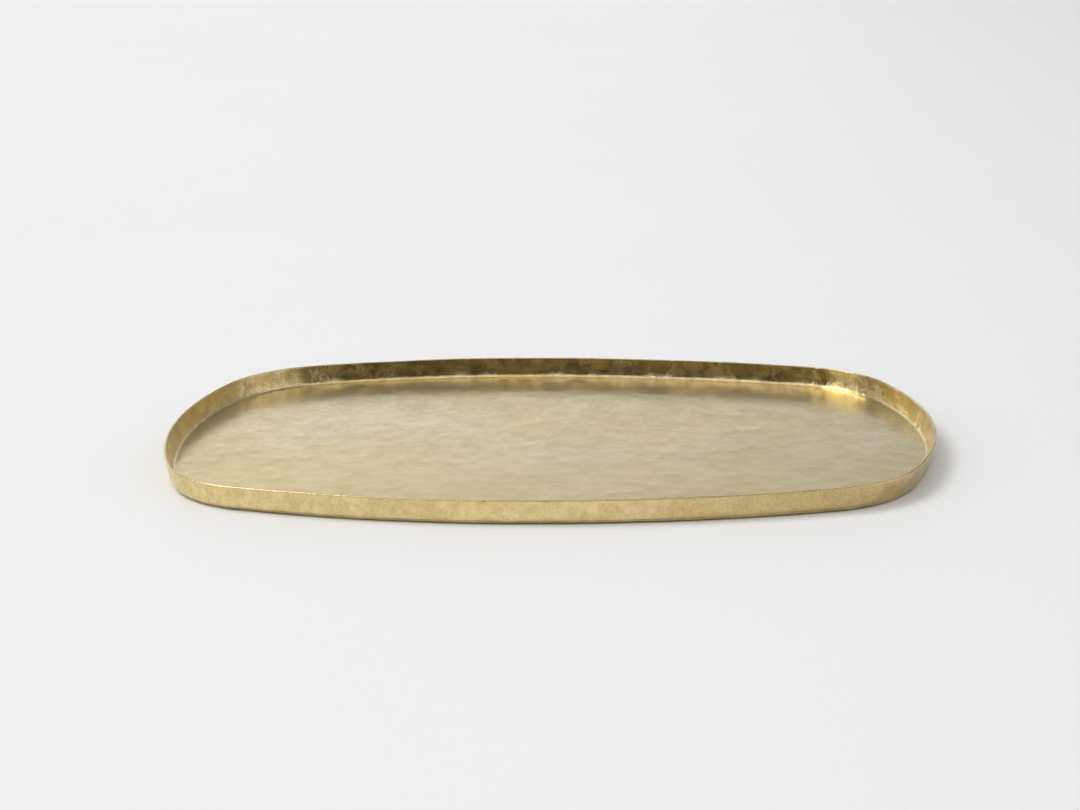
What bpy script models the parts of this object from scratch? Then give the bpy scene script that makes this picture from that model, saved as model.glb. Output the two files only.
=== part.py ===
"""A low serving tray hammered from one sheet of brass.

The plan is an oval of eight tangent arcs: two long gently bowed sides, two rounder ends and four corners.
The floor and the rim are the same sheet, turned up over a tight fold. The rim leans out a little, more at
the ends than at the sides, and the cut edge of the sheet is filed round. Nothing is joined on, so the tray
is one object.

Metres, +Z up. The origin is the middle of the underside, +X runs along the length and +Y across the width.
"""

from math import atan, atan2, cos, pi, radians, sin, tan

import bmesh
import bpy
from mathutils import Vector
from mathutils.geometry import intersect_sphere_sphere_2d

# Driving dimensions. The lengths are those of the sharp-edged lip, before it is filed.
LENGTH = 0.300  # along X
WIDTH = 0.200  # along Y
HEIGHT = 0.0093
SHEET = 0.0010  # thickness of the brass
SIDE_RADIUS = 0.404  # plan radius of the two long sides, at the lip
END_RADIUS = 0.156  # plan radius of the two ends, at the lip
CORNER_RADIUS = 0.046  # plan radius of the four corners, at the lip
SIDE_LEAN = 0.0010  # how far the rim leans out between the underside and the lip
END_LEAN = 0.0020
FOLD_RADIUS = 0.0025  # outside radius of the fold between floor and rim
LIP_SOFTENING = 0.0003  # width of the rounding on each edge of the lip

# Fineness of the mesh
SIDE_STEPS = 17  # on each half of a long side
END_STEPS = 10  # on each half of an end
CORNER_STEPS = 8
FOLD_SEGMENTS = 5
LIP_SEGMENTS = 2
SHARP_ANGLE = radians(45)  # the fold and the lip's edges turn more than this, the plan's steps less
MERGE_DISTANCE = 0.00001

# Brass that has dulled a little: linear colour, roughness and metallic
BRASS_COLOUR = (0.64, 0.50, 0.24, 1.0)
BRASS_ROUGHNESS = 0.32
BRASS_METALLIC = 1.0

MEAN_LEAN = (SIDE_LEAN + END_LEAN) / 2
LEAN_ANGLE = atan(MEAN_LEAN / HEIGHT)  # from upright
FOLD_TURN = pi / 2 - LEAN_ANGLE


def clear_scene():
    for obj in list(bpy.data.objects):
        bpy.data.objects.remove(obj)


def brass_material():
    material = bpy.data.materials.new("brass")
    material.use_nodes = True
    shader = material.node_tree.nodes["Principled BSDF"]
    shader.inputs["Base Color"].default_value = BRASS_COLOUR
    shader.inputs["Roughness"].default_value = BRASS_ROUGHNESS
    shader.inputs["Metallic"].default_value = BRASS_METALLIC
    return material


def arc(centre, radius, start, end, steps):
    """Points of an arc from the angle start up to, and not including, the angle end."""
    angles = [start + (end - start) * step / steps for step in range(steps)]
    return [centre + radius * Vector((cos(angle), sin(angle))) for angle in angles]


def direction(start, end):
    return atan2(end.y - start.y, end.x - start.x)


def quarter_outline(side_inset, end_inset):
    """The plan from +X round to +Y, moved in by its own amount at the sides and at the ends."""
    side_radius = SIDE_RADIUS - side_inset
    end_radius = END_RADIUS - end_inset
    corner_radius = CORNER_RADIUS - (side_inset + end_inset) / 2
    side_centre = Vector((0, WIDTH / 2 - SIDE_RADIUS))
    end_centre = Vector((LENGTH / 2 - END_RADIUS, 0))
    corner_centre = max(
        intersect_sphere_sphere_2d(
            end_centre, end_radius - corner_radius, side_centre, side_radius - corner_radius
        ),
        key=sum,
    )
    end_meets_corner = direction(end_centre, corner_centre)
    corner_meets_side = direction(side_centre, corner_centre)
    points = arc(end_centre, end_radius, 0, end_meets_corner, END_STEPS)
    points += arc(corner_centre, corner_radius, end_meets_corner, corner_meets_side, CORNER_STEPS)
    points += arc(side_centre, side_radius, corner_meets_side, pi / 2, SIDE_STEPS)
    return points + [Vector((0, WIDTH / 2 - side_inset))]


def quarter_sheet():
    """A quarter of the sheet's outer face, open at both middle planes: flat floor, sharp fold and rim."""
    rim_height = HEIGHT - SHEET * sin(LEAN_ANGLE)  # the sheet's inner edge stands higher by that
    sheet = bmesh.new()
    foot = [sheet.verts.new((*point, 0)) for point in quarter_outline(SIDE_LEAN, END_LEAN)]
    lip = [sheet.verts.new((*point, rim_height)) for point in quarter_outline(0, 0)]
    loops = [sheet.edges.new(pair) for line in (foot, lip) for pair in zip(line, line[1:])]
    bmesh.ops.bridge_loops(sheet, edges=loops)
    middle = sheet.verts.new((0, 0, 0))
    sheet.faces.new([middle, *foot])
    bmesh.ops.recalc_face_normals(sheet, faces=sheet.faces[:])
    mesh = bpy.data.meshes.new("hammered_tray")
    sheet.to_mesh(mesh)
    sheet.free()
    return mesh


def add_modifier(obj, name, kind, **settings):
    modifier = obj.modifiers.new(name, kind)
    for setting, value in settings.items():
        setattr(modifier, setting, value)


def add_bevel(obj, name, width, segments):
    """Rounds every edge that is sharp at that stage."""
    add_modifier(
        obj, name, "BEVEL", limit_method="ANGLE", angle_limit=SHARP_ANGLE, width=width, segments=segments
    )


def make_tray(collection):
    tray = bpy.data.objects.new("hammered_tray", quarter_sheet())
    collection.objects.link(tray)
    tray.data.materials.append(brass_material())
    tray.data.shade_smooth()
    add_modifier(
        tray, "four_quarters", "MIRROR", use_axis=(True, True, False), merge_threshold=MERGE_DISTANCE
    )
    add_bevel(tray, "fold", FOLD_RADIUS * tan(FOLD_TURN / 2), FOLD_SEGMENTS)
    add_modifier(tray, "sheet_thickness", "SOLIDIFY", thickness=SHEET, offset=-1, use_even_offset=True)
    add_bevel(tray, "filed_lip", LIP_SOFTENING, LIP_SEGMENTS)


def main():
    clear_scene()
    collection = bpy.data.collections.new("brass_tray")
    bpy.context.scene.collection.children.link(collection)
    make_tray(collection)


main()
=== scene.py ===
"""The looks of the brass tray: one sheet of brass, hammered over its floor and rim, on a pale table.

The sheet is made as rings of points that follow the plan: over the edge of the floor, up the fold and the
inside of the rim, round the filed lip, and down the outside to the underside. A grid closes the floor and a
coarser one the underside. Hammer blows then dent each face: every blow leaves a shallow dish, and the dishes
meet in ridges.

Metres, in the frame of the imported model: the origin is the middle of the underside, +X the length, +Z up.
"""

from math import atan2, cos, pi, radians, sin

import bpy
import numpy as np
from mathutils import Matrix, Vector, kdtree, noise
from mathutils.geometry import intersect_sphere_sphere_2d


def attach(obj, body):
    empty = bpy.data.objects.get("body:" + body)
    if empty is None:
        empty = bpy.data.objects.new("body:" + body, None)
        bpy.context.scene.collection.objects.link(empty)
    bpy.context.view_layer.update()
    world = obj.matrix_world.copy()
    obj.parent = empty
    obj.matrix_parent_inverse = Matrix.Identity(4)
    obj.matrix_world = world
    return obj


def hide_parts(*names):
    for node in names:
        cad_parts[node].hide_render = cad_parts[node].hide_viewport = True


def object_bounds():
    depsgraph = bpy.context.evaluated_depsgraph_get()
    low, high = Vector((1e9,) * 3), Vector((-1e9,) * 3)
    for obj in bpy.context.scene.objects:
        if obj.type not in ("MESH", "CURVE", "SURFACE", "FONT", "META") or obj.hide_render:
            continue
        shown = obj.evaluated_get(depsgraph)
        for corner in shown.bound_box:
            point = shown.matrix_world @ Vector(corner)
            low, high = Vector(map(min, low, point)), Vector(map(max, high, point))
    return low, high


SEED = 7

# The sheet, with the plan radii and leans that the CAD model has
SIDE_RADIUS = 0.404
END_RADIUS = 0.156
CORNER_RADIUS = 0.046
SIDE_LEAN = 0.0010
END_LEAN = 0.0020
SHEET = 0.0010  # thickness
FOLD_RADIUS = 0.0025  # outside
LIP_ROUNDING = 0.00035

# Handmade unevenness of the plan, in metres
SKEW = -0.0008  # draws two opposite corners in and pushes the other two out
EGG = 0.0009  # one end a little rounder than the other

# Fineness of the mesh. The counts round the plan are multiples of the strides.
SIDE_COUNT = 400  # along each long side, from the middle of one corner to the next
END_COUNT = 248
FLOOR_STRIDE = 2  # the grid in the floor takes every second point of the ring round it
UNDERSIDE_STRIDE = 4
MARGIN = 0.012  # width of the band round each face that is made of rings
FLOOR_ROWS = 8
FOLD_ROWS = 7
WALL_ROWS = 8
LIP_ROWS = 3
UNDERSIDE_ROWS = 4
CORNER_SAMPLES = 4000  # steps in which the way from one corner to the next is measured

# Hammer blows. Shares of the rim's height go from 0 at its foot to 1 at its lip.
FLOOR_BLOW_SPACING = 0.0085
FLOOR_BLOW_RADIUS = 0.34  # radius of curvature of the dish that one blow leaves
FLOOR_BLOW_TILT = radians(0.25)
FLOOR_ROW_SPACING = 0.87  # distance between rows, as a share of the spacing in a row
FLOOR_BLOW_SCATTER = 0.22  # as a share of the spacing
WALL_BLOW_SPACING = 0.0056
WALL_BLOW_RADIUS = 0.06
WALL_BLOW_TILT = radians(5.0)
WALL_BLOW_LEVELS = (0.35, 0.8)
BLOW_RADIUS_SPREAD = (0.7, 1.4)
BLOW_TALLNESS = 0.4  # heights count this much, so that a blow on the rim covers its whole height
NEAREST_BLOWS = 6
RIM_TAKES_OVER = (0.08, 0.4)  # the floor's blows give way to the rim's between these shares
LIP_CALM = 0.9  # how much of the blows is taken out again at the lip, which was filed straight
LIP_CALM_START = 0.7
BUCKLE_SIZE = 0.045  # the slow waves that hammering leaves in a sheet
BUCKLE_DEPTH = 0.0002
BUCKLE_SHIFT = 3.7  # where in the noise the waves are taken from
DENT_SIZE = 0.0035  # small dents that break up the fold
DENT_DEPTH = 0.00016
DENT_SHIFT = 9.1
DENT_REACH = 0.0007  # height above the fold's flat side where the dents are deepest

# Where the finish of the brass changes, and where shade is painted over it
RIM_FINISH = (0.00115, 0.0018)  # the rim's finish begins and is full at these heights
LIP_FINISH = (0.0007, 0.0002)  # the same for the lip's, as depths under the top
FRONT = (-0.09, 0.02)  # full, and gone, at these places along Y
BACK = (0.02, 0.09)  # painted shade over the back of the rim begins, and is full, at these places along Y
FRONT_RIGHT = (0.095, 0.135)  # painted shade over the rim at the front right begins, and is full, at these distances from the origin to the front right
TO_FRONT_RIGHT = (0.6, -0.8, 0)

# Colours of the brass, linear
WARM_BRASS = (0.74, 0.60, 0.29, 1)
HAZY_BRASS = (0.73, 0.63, 0.39, 1)
CLOUDED_BRASS = (0.60, 0.46, 0.21, 1)
RUBBED_BRASS = (0.52, 0.43, 0.24, 1)
GRAINY_BRASS = (0.48, 0.40, 0.22, 1)
FRONT_BRASS = (0.71, 0.55, 0.25, 1)
WORN_BRASS = (0.83, 0.67, 0.34, 1)
STAIN = (0.64, 0.45, 0.17, 1)
FLECK = (0.47, 0.36, 0.15, 1)
# Painted shade: a dark brown laid in patches over the back of the rim
BACK_PAINTED_SHADE = (0.38, 0.28, 0.12, 1)
# Painted shade: a brown laid over the rim at the front right
FRONT_RIGHT_PAINTED_SHADE = (0.46, 0.33, 0.14, 1)
BRIGHT_SPECK = (0.90, 0.76, 0.42, 1)
PIT = (0.22, 0.15, 0.05, 1)
FILED_BRASS = (0.72, 0.57, 0.29, 1)

# The rest of its finish
ROUGHNESS = (0.17, 0.25)
LIP_ROUGHENING = 0.06
FLOOR_METALLIC = 0.85  # the film over the floor hides a little of the metal
BUMP_HEIGHT = 0.00006
FLOOR_BUMPS = 0.12  # of the rim's
RUBBING_BUMPS = 3.0  # of the grain's

# The camera goes round and above the origin, and then turns a little off it
CAMERA_AZIMUTH = radians(3.87)
CAMERA_ELEVATION = radians(16.81)
CAMERA_DISTANCE = 0.781
CAMERA_PITCH = radians(15.70)
CAMERA_PAN = radians(0.20)
CAMERA_ROLL = radians(-1.14)
CAMERA_LENS = 65.7

TABLE_SIZE = 12.0
TABLE_ROUGHNESS = 0.55
TABLE_SHADE_SPAN = (-0.1, 0.9)  # painted shade on the table begins, and is full, at these places along X
TABLE_GREY = (0.84, 0.84, 0.84, 1)
TABLE_PALE = (0.87, 0.87, 0.87, 1)
# Painted shade: the table's colour towards the right
TABLE_PAINTED_SHADE = (0.74, 0.74, 0.74, 1)


# ---------------------------------------------------------------- plan and section


def quarter_joints(half_length, half_width):
    """Centres of a quarter's side, end and corner arcs, and its corner's first and last direction."""
    side_centre = Vector((0, half_width - SIDE_RADIUS))
    end_centre = Vector((half_length - END_RADIUS, 0))
    corner_centre = max(
        intersect_sphere_sphere_2d(
            end_centre, END_RADIUS - CORNER_RADIUS, side_centre, SIDE_RADIUS - CORNER_RADIUS
        ),
        key=sum,
    )
    from_end = corner_centre - end_centre
    from_side = corner_centre - side_centre
    start, end = atan2(from_end.y, from_end.x), atan2(from_side.y, from_side.x)
    return side_centre, end_centre, corner_centre, start, end


def lip_line(facing, half_length, half_width):
    """The points of the lip that face the given directions, and the radius of the plan there."""
    side_centre, end_centre, corner_centre, start, end = quarter_joints(half_length, half_width)
    facing_x, facing_y = np.cos(facing), np.sin(facing)
    folded = np.arctan2(abs(facing_y), abs(facing_x))
    parts = [folded < start, folded > end]
    radius = np.select(parts, [END_RADIUS, SIDE_RADIUS], CORNER_RADIUS)
    x = np.select(parts, [end_centre.x, side_centre.x], corner_centre.x) * np.sign(facing_x)
    y = np.select(parts, [end_centre.y, side_centre.y], corner_centre.y) * np.sign(facing_y)
    return np.stack([x + radius * facing_x, y + radius * facing_y], axis=-1), radius


def even_directions(half_length, half_width):
    """Directions that step evenly round the lip, from the middle of the corner at -X -Y."""
    *_, start, end = quarter_joints(half_length, half_width)
    corner = (start + end) / 2
    corners = [corner - pi, -corner, corner, pi - corner, corner + pi]
    found = []
    for first, last, count in zip(corners, corners[1:], [SIDE_COUNT, END_COUNT] * 2):
        fine = np.linspace(first, last, CORNER_SAMPLES)
        _, radius = lip_line((fine[1:] + fine[:-1]) / 2, half_length, half_width)
        lengths = np.concatenate([[0], np.cumsum(radius * np.diff(fine))])
        steps = np.linspace(0, lengths[-1], count, endpoint=False)
        found.append(np.interp(steps, lengths, fine))
    return np.concatenate(found)


def section(lean, height):
    """The sheet's section, from the edge of the floor over the lip to the edge of the underside.

    Arrays of rows by directions: distance out from the lip, height, and the two parts of the normal. The
    last value is the number of rows on the inside, up to the middle of the lip. An angle is 0 for an upright
    wall's outward normal, and a quarter turn for the underside's.
    """
    tilt = np.arctan2(lean, height)
    flat = np.full_like(lean, pi / 2)
    inner_radius = FOLD_RADIUS - SHEET
    points, normals = [], []

    def outward(angle):
        return np.array([np.cos(angle), -np.sin(angle)])

    def add_run(start, end, angle, side, count):
        for share in np.arange(count) / count:
            points.append(start + (end - start) * share)
            normals.append(side * outward(angle))

    def add_arc(middle, radius, start, end, side, count):
        for share in np.arange(count) / count:
            spoke = outward(start + (end - start) * share)
            points.append(middle + spoke * radius)
            normals.append(side * spoke)

    foot_level = FOLD_RADIUS * (1 - np.sin(tilt))
    foot_out = np.array([-(height - foot_level) * np.tan(tilt), foot_level])
    centre = foot_out - outward(tilt) * FOLD_RADIUS
    foot_in = centre + outward(tilt) * inner_radius
    up = outward(tilt - pi / 2)
    top = np.array([0 * lean, height - SHEET * np.sin(tilt)])  # outer edge of the lip, before it is rounded
    round_out = top - (outward(tilt) + up) * LIP_ROUNDING
    round_in = round_out - outward(tilt) * (SHEET - 2 * LIP_ROUNDING)
    lip_out = round_out + outward(tilt) * LIP_ROUNDING
    lip_in = round_in - outward(tilt) * LIP_ROUNDING
    floor_edge = np.array([np.full_like(lean, -MARGIN), np.full_like(lean, SHEET)])
    underside_edge = np.array([np.full_like(lean, -MARGIN), np.zeros_like(lean)])

    add_run(floor_edge, centre + outward(flat) * inner_radius, flat, -1, FLOOR_ROWS)
    add_arc(centre, inner_radius, flat, tilt, -1, FOLD_ROWS)
    add_run(foot_in, lip_in, tilt, -1, WALL_ROWS)
    add_arc(round_in, LIP_ROUNDING, tilt - pi, tilt - pi / 2, 1, LIP_ROWS)
    inside_rows = len(points)
    add_arc(round_out, LIP_ROUNDING, tilt - pi / 2, tilt, 1, LIP_ROWS)
    add_run(lip_out, foot_out, tilt, 1, WALL_ROWS)
    add_arc(centre, FOLD_RADIUS, tilt, flat, 1, FOLD_ROWS)
    add_run(centre + outward(flat) * FOLD_RADIUS, underside_edge, flat, 1, UNDERSIDE_ROWS)
    points.append(underside_edge)
    normals.append(outward(flat))
    points, normals = np.array(points), np.array(normals)
    return points[:, 0], points[:, 1], normals[:, 0], normals[:, 1], inside_rows


# ---------------------------------------------------------------- mesh of the sheet


def grid_over(ring, columns, rows):
    """Points of a grid in a ring of 2 * (columns + rows) points that starts at the grid's first corner."""
    loop = np.vstack([ring, ring[:1]])
    bottom = loop[: columns + 1]
    right = loop[columns : columns + rows + 1]
    top = loop[columns + rows : 2 * columns + rows + 1][::-1]
    left = loop[2 * columns + rows :][::-1]
    u = np.linspace(0, 1, columns + 1)[None, :, None]
    v = np.linspace(0, 1, rows + 1)[:, None, None]
    edges = (1 - v) * bottom[None] + v * top[None] + (1 - u) * left[:, None] + u * right[:, None]
    corners = (1 - v) * ((1 - u) * bottom[0] + u * bottom[-1]) + v * ((1 - u) * top[0] + u * top[-1])
    return edges - corners


def grid_numbers(ring_numbers, first_free, columns, rows):
    """Vertex numbers of such a grid: the ring's on its border, and new ones inside."""
    loop = np.append(ring_numbers, ring_numbers[0])
    numbers = np.empty((rows + 1, columns + 1), int)
    numbers[0] = loop[: columns + 1]
    numbers[:, -1] = loop[columns : columns + rows + 1]
    numbers[-1] = loop[columns + rows : 2 * columns + rows + 1][::-1]
    numbers[:, 0] = loop[2 * columns + rows :][::-1]
    inside = (rows - 1) * (columns - 1)
    numbers[1:-1, 1:-1] = first_free + np.arange(inside).reshape(rows - 1, columns - 1)
    return numbers


def quads(numbers):
    """The quads of a grid of vertex numbers."""
    corners = [numbers[:-1, :-1], numbers[:-1, 1:], numbers[1:, 1:], numbers[1:, :-1]]
    return np.stack(corners, axis=-1).reshape(-1, 4).tolist()


class Sheet:
    """The points, normals and faces of the sheet while it is built."""

    def __init__(self):
        self.points, self.normals, self.faces, self.count = [], [], [], 0

    def add(self, points, normals):
        points = points.reshape(-1, 3)
        normals = np.broadcast_to(normals, points.shape)
        self.points.append(points)
        self.normals.append(normals)
        numbers = self.count + np.arange(len(points))
        self.count += len(points)
        return numbers

    def close(self, ring, ring_numbers, stride, side):
        """Closes the hole inside a ring with a grid that takes every stride-th point.

        Side is 1 for a face that looks up, and -1 for one that looks down.
        """
        columns, rows = SIDE_COUNT // stride, END_COUNT // stride
        step = np.linalg.norm(ring[1] - ring[0]) * stride
        normal = np.array([0.0, 0.0, side])
        coarse = ring[::stride] * [1 - step / ring[:, 0].max(), 1 - step / ring[:, 1].max(), 1]
        coarse_numbers = self.add(coarse, normal)
        fine = np.append(ring_numbers, ring_numbers[0])
        fans = []
        for here in range(len(coarse)):
            after = (here + 1) % len(coarse)
            outer = fine[here * stride : (here + 1) * stride + 1]
            fans.append([*outer, coarse_numbers[after], coarse_numbers[here]])
        grid = grid_over(coarse, columns, rows)[1:-1, 1:-1]
        fans += quads(grid_numbers(coarse_numbers, self.count, columns, rows))
        self.add(grid, normal)
        self.faces += [face[::side] for face in fans]


def build_sheet(half_length, half_width, height):
    """The smooth sheet: its points, normals, faces, and which points are on its inner face."""
    facing = even_directions(half_length, half_width)
    lip, _ = lip_line(facing, half_length, half_width)
    outward = np.stack([np.cos(facing), np.sin(facing)], axis=-1)
    turn = np.arctan2(lip[:, 1] / half_width, lip[:, 0] / half_length)
    lip = lip + outward * (SKEW * np.sin(2 * turn) + EGG * np.cos(3 * turn))[:, None]
    lean = SIDE_LEAN * outward[:, 1] ** 2 + END_LEAN * outward[:, 0] ** 2
    out, up, normal_out, normal_up, inside_rows = section(lean, height)
    rings = np.concatenate([lip[None] + out[..., None] * outward[None], up[..., None]], axis=-1)
    ring_normals = np.concatenate([normal_out[..., None] * outward[None], normal_up[..., None]], axis=-1)

    sheet = Sheet()
    numbers = sheet.add(rings, ring_normals.reshape(-1, 3)).reshape(rings.shape[:2])
    sheet.faces += quads(np.hstack([numbers, numbers[:, :1]])[::-1])
    inside = np.arange(sheet.count) < inside_rows * len(lip)
    sheet.close(rings[0], numbers[0], FLOOR_STRIDE, 1)
    inside = np.append(inside, np.ones(sheet.count - len(inside), bool))
    sheet.close(rings[-1], numbers[-1], UNDERSIDE_STRIDE, -1)
    inside = np.append(inside, np.zeros(sheet.count - len(inside), bool))
    return np.vstack(sheet.points), np.vstack(sheet.normals), sheet.faces, inside


# ---------------------------------------------------------------- hammering


def floor_blows(rng, half_length, half_width, level):
    """Blows over a flat face, in rows that are nudged off a regular pattern."""
    spacing = FLOOR_BLOW_SPACING
    rows = np.arange(-half_width, half_width, spacing * FLOOR_ROW_SPACING)
    columns = np.arange(-half_length, half_length, spacing)
    x, y = np.meshgrid(columns, rows)
    x = x + spacing / 2 * (np.arange(len(rows)) % 2)[:, None]
    centres = np.stack([x.ravel(), y.ravel(), np.full(x.size, level)], axis=-1)
    centres[:, :2] += rng.normal(0, spacing * FLOOR_BLOW_SCATTER, (len(centres), 2))
    return centres


def wall_blows(rng, half_length, half_width, height, out):
    """Blows side by side round the rim."""
    facing = even_directions(half_length, half_width)
    lip, _ = lip_line(facing, half_length, half_width)
    stride = round(WALL_BLOW_SPACING / np.linalg.norm(lip[1] - lip[0]))
    chosen = np.arange(0, len(lip) - stride // 2, stride)
    chosen = (chosen + rng.integers(-stride // 3, stride // 3 + 1, len(chosen))) % len(lip)
    outward = np.stack([np.cos(facing), np.sin(facing)], axis=-1)
    spots = lip[chosen] + out * outward[chosen]
    levels = height * rng.uniform(*WALL_BLOW_LEVELS, len(chosen))
    return np.column_stack([spots, levels])


def blow_depths(rng, points, centres, usual_radius, usual_tilt):
    """How far each point stands off the usual depth of the dishes: the lowest dish near it counts."""
    radii = usual_radius * rng.uniform(*BLOW_RADIUS_SPREAD, len(centres))
    tilts = usual_tilt * rng.uniform(-1, 1, centres.shape)
    squash = np.array([1, 1, BLOW_TALLNESS])
    tree = kdtree.KDTree(len(centres))
    for number, centre in enumerate(centres * squash):
        tree.insert(centre, number)
    tree.balance()
    near = np.array([[found[1] for found in tree.find_n(point, NEAREST_BLOWS)] for point in points * squash])
    offset = points[:, None] - centres[near]
    dish = ((offset * squash) ** 2).sum(axis=-1) / (2 * radii[near]) + (offset * tilts[near]).sum(axis=-1)
    depth = dish.min(axis=1)
    return depth - np.median(depth)


def ramp(value, start, end):
    """0 under start, 1 over end, and smooth between."""
    share = np.clip((value - start) / (end - start), 0, 1)
    return share * share * (3 - 2 * share)


def hammer_face(rng, points, half_length, half_width, height, level, out):
    """Depths of the blows on one face of the sheet: the flat part's, and the rim's own higher up."""
    flat = floor_blows(rng, half_length, half_width, level)
    upright = wall_blows(rng, half_length, half_width, height, out)
    flat_depth = blow_depths(rng, points, flat, FLOOR_BLOW_RADIUS, FLOOR_BLOW_TILT)
    rim_depth = blow_depths(rng, points, upright, WALL_BLOW_RADIUS, WALL_BLOW_TILT)
    climb = (points[:, 2] - level) / (height - level)
    rim_depth *= 1 - LIP_CALM * ramp(climb, LIP_CALM_START, 1.0)
    share = ramp(climb, *RIM_TAKES_OVER)
    return flat_depth * (1 - share) + rim_depth * share


def waves(points, size, shift):
    """Slow noise over the sheet, about from -1 to 1."""
    offset = Vector((shift, shift, 0))
    return np.array([noise.noise(Vector(point) / size + offset) for point in points])


def dents(points, flat_level):
    """Small dents along the fold, which fade out up the wall."""
    nearness = (points[:, 2] - flat_level) / DENT_REACH
    return DENT_DEPTH * waves(points, DENT_SIZE, DENT_SHIFT) * nearness * np.exp(1 - nearness)


def hammered_tray(half_length, half_width, height):
    """The finished tray as an object."""
    rng = np.random.default_rng(SEED)
    points, normals, faces, inside = build_sheet(half_length, half_width, height)
    depth = np.empty(len(points))
    for face, level, out in ((inside, SHEET, -SHEET - SIDE_LEAN / 2), (~inside, 0.0, -SIDE_LEAN / 2)):
        blows = hammer_face(rng, points[face], half_length, half_width, height, level, out)
        depth[face] = blows + dents(points[face], level)
    points = points + normals * depth[:, None]
    points[:, 2] += BUCKLE_DEPTH * waves(points, BUCKLE_SIZE, BUCKLE_SHIFT)
    points[:, 2] -= points[:, 2].min()
    mesh = bpy.data.meshes.new("hammered_brass_tray")
    mesh.from_pydata(points.tolist(), [], faces)
    mesh.shade_smooth()
    tray = bpy.data.objects.new("hammered_brass_tray", mesh)
    bpy.context.scene.collection.objects.link(tray)
    return tray


# ---------------------------------------------------------------- materials


def add_node(tree, kind, inputs=None, **settings):
    """A new node. Its inputs are given by name or number, as values or as another node's output to link."""
    node = tree.nodes.new(kind)
    for name, value in settings.items():
        setattr(node, name, value)
    for name, value in (inputs or {}).items():
        if isinstance(value, bpy.types.NodeSocket):
            tree.links.new(value, node.inputs[name])
        else:
            node.inputs[name].default_value = value
    return node


def soft_step(tree, value, start, end, low=0.0, high=1.0):
    """low where value is under start, high where it is over end, and smooth between."""
    inputs = {"Value": value, "From Min": start, "From Max": end, "To Min": low, "To Max": high}
    return add_node(tree, "ShaderNodeMapRange", inputs, interpolation_type="SMOOTHSTEP").outputs[0]


def mixed(tree, share, first, second):
    """Two colours mixed: second in place of first, by share."""
    inputs = {0: share, 6: first, 7: second}  # by number, since this node has several inputs of one name
    return add_node(tree, "ShaderNodeMix", inputs, data_type="RGBA").outputs[2]


def product(tree, first, second):
    return add_node(tree, "ShaderNodeMath", {0: first, 1: second}, operation="MULTIPLY").outputs[0]


def total(tree, first, second):
    return add_node(tree, "ShaderNodeMath", {0: first, 1: second}, operation="ADD").outputs[0]


def noise_at(tree, place, scale, detail, roughness):
    """Noise from 0 to 1 with scale bumps to the metre."""
    inputs = {"Vector": place, "Scale": scale, "Detail": detail, "Roughness": roughness}
    return add_node(tree, "ShaderNodeTexNoise", inputs).outputs["Fac"]


def reach_towards(tree, place, direction):
    """How far a place reaches in a direction, seen from the origin."""
    node = add_node(tree, "ShaderNodeVectorMath", {0: place, 1: direction}, operation="DOT_PRODUCT")
    return node.outputs["Value"]


def new_material(name):
    material = bpy.data.materials.new(name)
    material.use_nodes = True
    return material, material.node_tree, material.node_tree.nodes["Principled BSDF"]


def brass_colour(tree, place, on_rim, at_lip, patterns):
    """Warm brass under a cool haze, on a rim that is worn, stained, flecked and pitted too, with painted
    shade over its back and its front right.
    """
    haze, clouds, mottle, rubbing, grain, specks = patterns
    across = add_node(tree, "ShaderNodeSeparateXYZ", {0: place}).outputs["Y"]
    at_front = soft_step(tree, across, *FRONT, 1.0, 0.0)
    at_back = soft_step(tree, across, *BACK)
    at_front_right = soft_step(tree, reach_towards(tree, place, TO_FRONT_RIGHT), *FRONT_RIGHT)
    back_rim = product(tree, on_rim, at_back)
    flecked = product(tree, on_rim, soft_step(tree, rubbing, 0.44, 0.6, 0.0, 0.2))
    layers = (
        (soft_step(tree, haze, 0.35, 0.65), HAZY_BRASS),
        (soft_step(tree, clouds, 0.5, 0.72, 0.0, 0.25), CLOUDED_BRASS),
        (soft_step(tree, rubbing, 0.35, 0.65, 0.0, 0.3), RUBBED_BRASS),
        (soft_step(tree, grain, 0.35, 0.65, 0.0, 0.18), GRAINY_BRASS),
        (product(tree, at_front, 0.5), FRONT_BRASS),
        (product(tree, on_rim, soft_step(tree, mottle, 0.38, 0.55, 0.8, 0.1)), WORN_BRASS),
        (product(tree, on_rim, soft_step(tree, mottle, 0.48, 0.64, 0.0, 0.35)), STAIN),
        # Painted shade on the back of the rim: its flecks count double there, and a dark brown is laid over
        # it in patches
        (product(tree, flecked, total(tree, 1.0, at_back)), FLECK),
        (product(tree, back_rim, soft_step(tree, mottle, 0.43, 0.57, 0.75, 0.1)), BACK_PAINTED_SHADE),
        # Painted shade that darkens the rim at the front right
        (product(tree, product(tree, on_rim, at_front_right), 0.75), FRONT_RIGHT_PAINTED_SHADE),
        (product(tree, on_rim, soft_step(tree, specks, 0.52, 0.68, 0.0, 0.5)), BRIGHT_SPECK),
        (product(tree, on_rim, soft_step(tree, grain, 0.58, 0.7, 0.0, 0.35)), PIT),
        (product(tree, at_lip, 0.5), FILED_BRASS),
    )
    colour = WARM_BRASS
    for share, layer in layers:
        colour = mixed(tree, share, colour, layer)
    return colour


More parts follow.
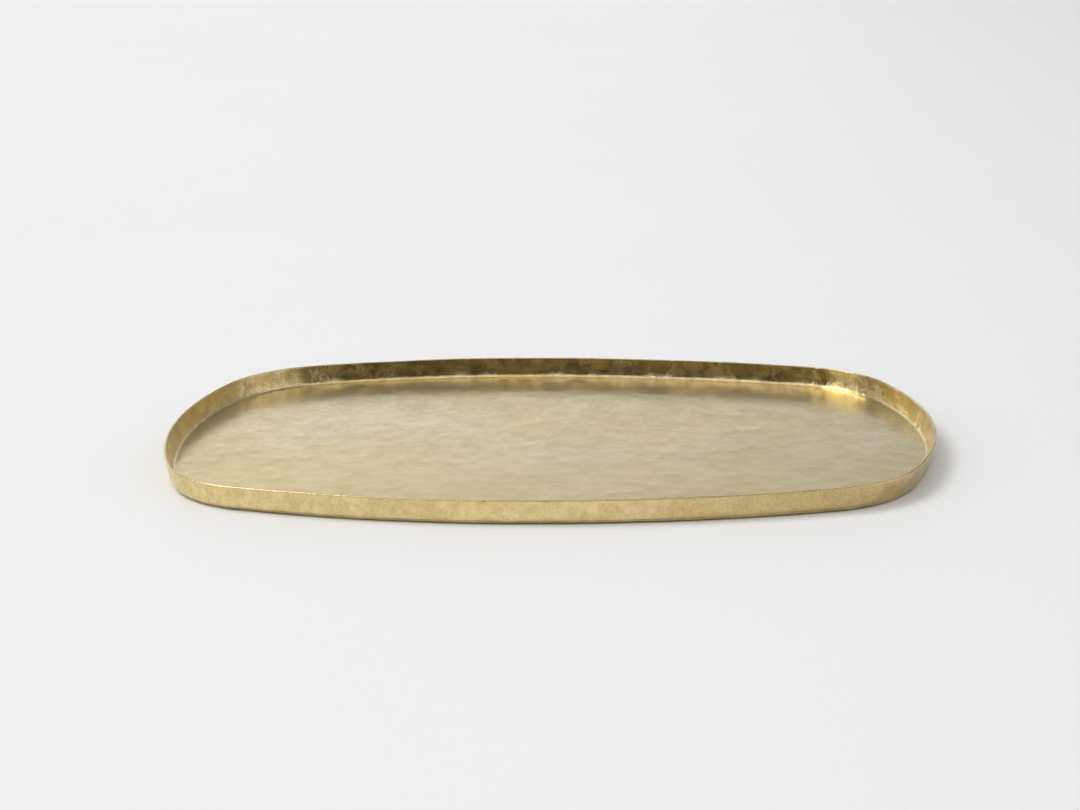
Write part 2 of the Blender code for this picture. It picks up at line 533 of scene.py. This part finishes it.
def brass_material(height):
    """Brass that has been handled: a fine dull film over the floor, and a shinier but more uneven rim."""
    material, tree, shader = new_material("hammered_brass")
    place = add_node(tree, "ShaderNodeTexCoord").outputs["Object"]
    level = add_node(tree, "ShaderNodeSeparateXYZ", {0: place}).outputs["Z"]
    on_rim = soft_step(tree, level, *RIM_FINISH)
    at_lip = soft_step(tree, level, *(height - depth for depth in LIP_FINISH))

    haze = noise_at(tree, place, 12, detail=4, roughness=0.55)
    clouds = noise_at(tree, place, 75, detail=6, roughness=0.68)
    mottle = noise_at(tree, place, 130, detail=5, roughness=0.6)
    rubbing = noise_at(tree, place, 420, detail=3, roughness=0.6)
    grain = noise_at(tree, place, 900, detail=3, roughness=0.65)
    specks = noise_at(tree, place, 2000, detail=2, roughness=0.6)
    patterns = (haze, clouds, mottle, rubbing, grain, specks)
    colour = brass_colour(tree, place, on_rim, at_lip, patterns)
    tree.links.new(colour, shader.inputs["Base Color"])

    roughness = soft_step(tree, clouds, 0.35, 0.65, *ROUGHNESS)
    polish = product(tree, on_rim, soft_step(tree, mottle, 0.4, 0.6, -0.1, 0.02))
    roughness = total(tree, roughness, polish)
    roughness = total(tree, roughness, product(tree, at_lip, LIP_ROUGHENING))
    tree.links.new(roughness, shader.inputs["Roughness"])

    relief = total(tree, total(tree, grain, specks), product(tree, rubbing, RUBBING_BUMPS))
    relief = product(tree, relief, soft_step(tree, on_rim, 0.0, 1.0, FLOOR_BUMPS, 1.0))
    bump = add_node(tree, "ShaderNodeBump", {"Strength": 1.0, "Distance": BUMP_HEIGHT, "Height": relief})
    tree.links.new(bump.outputs[0], shader.inputs["Normal"])
    metallic = soft_step(tree, on_rim, 0.0, 1.0, FLOOR_METALLIC, 1.0)
    tree.links.new(metallic, shader.inputs["Metallic"])
    return material


def table_material():
    """A smooth pale table, with shade painted on it that darkens it a little towards the right."""
    material, tree, shader = new_material("pale_table")
    place = add_node(tree, "ShaderNodeTexCoord").outputs["Object"]
    cloud = noise_at(tree, place, 3, detail=2, roughness=0.5)
    colour = mixed(tree, cloud, TABLE_GREY, TABLE_PALE)
    to_right = add_node(tree, "ShaderNodeSeparateXYZ", {0: place}).outputs["X"]
    # Painted shade that darkens the table towards the right
    colour = mixed(tree, soft_step(tree, to_right, *TABLE_SHADE_SPAN), colour, TABLE_PAINTED_SHADE)
    tree.links.new(colour, shader.inputs["Base Color"])
    shader.inputs["Roughness"].default_value = TABLE_ROUGHNESS
    return material


# ---------------------------------------------------------------- stage


def add_table():
    bpy.ops.mesh.primitive_plane_add(size=TABLE_SIZE)
    table = bpy.context.object
    table.name = "table"
    table.data.materials.append(table_material())


def add_camera():
    around = Matrix.Rotation(CAMERA_AZIMUTH, 4, "Z")
    arm = Vector((0, -cos(CAMERA_ELEVATION), sin(CAMERA_ELEVATION))) * CAMERA_DISTANCE
    aim = (
        Matrix.Rotation(CAMERA_AZIMUTH + CAMERA_PAN, 4, "Z")
        @ Matrix.Rotation(pi / 2 - CAMERA_PITCH, 4, "X")
        @ Matrix.Rotation(CAMERA_ROLL, 4, "Z")
    )
    data = bpy.data.cameras.new("camera")
    data.lens = CAMERA_LENS
    camera = bpy.data.objects.new("camera", data)
    camera.matrix_world = Matrix.Translation(around @ arm) @ aim
    bpy.context.scene.collection.objects.link(camera)
    bpy.context.scene.camera = camera


# Soft areas of light round the studio. Angles are in degrees, and bearings go clockwise from +Y to +X.
ROOM_GLOW = 0.035
GLOWS = (  # bearing, elevation, angles from there where the glow is gone and full, brightness
    (0, 90, 58, 35, 0.3),  # ceiling
    (-25, -30, 75, 20, 1.42),  # backdrop, brightest low down
    (-75, 10, 45, 15, 0.2),  # wall on the left
    (-112, 28, 26, 19, 1.6),  # window on the left
    (-140, 62, 46, 20, 0.72),  # ceiling in front of the window
    (60, 18, 52, 15, 0.33),  # wall on the right
    (112, 22, 50, 15, 0.8),  # reflector on the right
    (184, 35, 30, 10, 0.2),  # wall behind the camera
)
SUN_BEARING = -78
SUN_ELEVATION = 54
SUN_WIDTH = 30
SUN_POWER = 1.13


def towards(bearing, elevation):
    """The direction at a bearing and an elevation, both in degrees."""
    bearing, elevation = radians(bearing), radians(elevation)
    return Vector((cos(elevation) * sin(bearing), cos(elevation) * cos(bearing), sin(elevation)))


def add_room():
    """The studio as the brass reflects it: a pale backdrop, a window, a reflector and dim walls."""
    world = bpy.data.worlds.new("studio")
    bpy.context.scene.world = world
    world.use_nodes = True
    tree = world.node_tree
    looking = add_node(tree, "ShaderNodeTexCoord").outputs["Generated"]
    light = ROOM_GLOW
    for bearing, elevation, gone, full, brightness in GLOWS:
        nearness = reach_towards(tree, looking, towards(bearing, elevation))
        glow = soft_step(tree, nearness, cos(radians(gone)), cos(radians(full)), 0.0, brightness)
        light = total(tree, light, glow)
    tree.links.new(light, tree.nodes["Background"].inputs["Strength"])
    tree.nodes["Background"].inputs["Color"].default_value = (1, 1, 1, 1)


def add_sun():
    """A wide soft light from behind on the left, which throws the short shadow."""
    data = bpy.data.lights.new("soft_sun", "SUN")
    data.angle = radians(SUN_WIDTH)
    data.energy = SUN_POWER
    sun = bpy.data.objects.new("soft_sun", data)
    sun.rotation_euler = towards(SUN_BEARING, SUN_ELEVATION).to_track_quat("Z", "Y").to_euler()
    bpy.context.scene.collection.objects.link(sun)


# ---------------------------------------------------------------- scene

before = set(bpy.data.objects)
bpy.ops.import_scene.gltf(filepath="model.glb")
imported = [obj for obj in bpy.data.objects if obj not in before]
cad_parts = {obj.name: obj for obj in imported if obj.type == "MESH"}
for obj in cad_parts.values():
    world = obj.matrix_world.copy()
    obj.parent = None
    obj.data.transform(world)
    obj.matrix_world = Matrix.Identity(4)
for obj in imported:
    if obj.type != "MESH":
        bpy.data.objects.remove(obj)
cad_low, cad_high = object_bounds()
bpy.context.scene.view_settings.view_transform = "Standard"

tray = hammered_tray(cad_high.x, cad_high.y, cad_high.z)
tray.data.materials.append(brass_material(cad_high.z))
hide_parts("hammered_tray")
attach(tray, "root")

add_table()
add_room()
add_sun()
add_camera()
